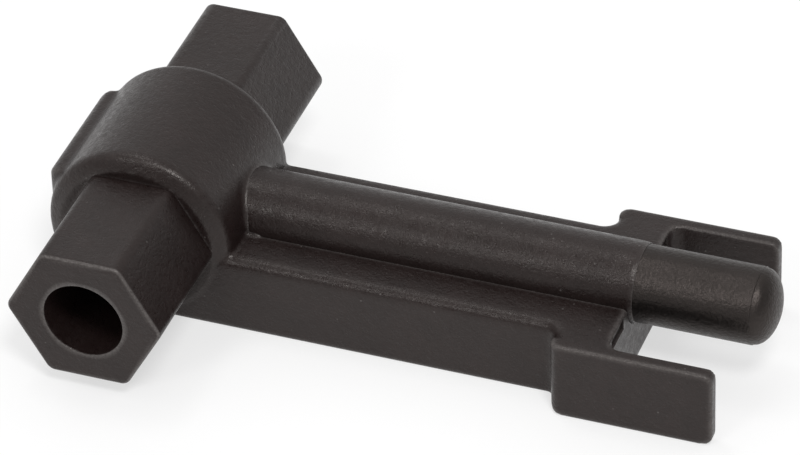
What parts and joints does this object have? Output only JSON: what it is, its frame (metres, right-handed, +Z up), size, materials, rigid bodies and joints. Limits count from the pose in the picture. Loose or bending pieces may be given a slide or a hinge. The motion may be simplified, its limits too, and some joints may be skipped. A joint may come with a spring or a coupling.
{
  "type": "radiator bleed key",
  "caption": "T-shaped radiator key: a hub with a hexagonal cross tube, bored at each end, and a round stem on a flat bar that ends in a domed nose between two flat fork tabs.",
  "frame": {"origin": "middle of the key's box in X and Y, on the flat base that it lies on", "axes": "+X along the stem from the hub to the nose, Y along the hexagonal cross tube, +Z up from the flat base"},
  "size_m": [0.0676, 0.041, 0.017],
  "materials": {
    "black_nylon": "matte, finely mottled moulded skin",
    "dark_steel": "blackened, satin"
  },
  "bodies": {
    "root": {"body": "black_nylon", "hex_tube": "black_nylon", "square_socket": "dark_steel", "stem_sleeve": "black_nylon", "nose_pin": "dark_steel"}
  },
  "joints": []
}
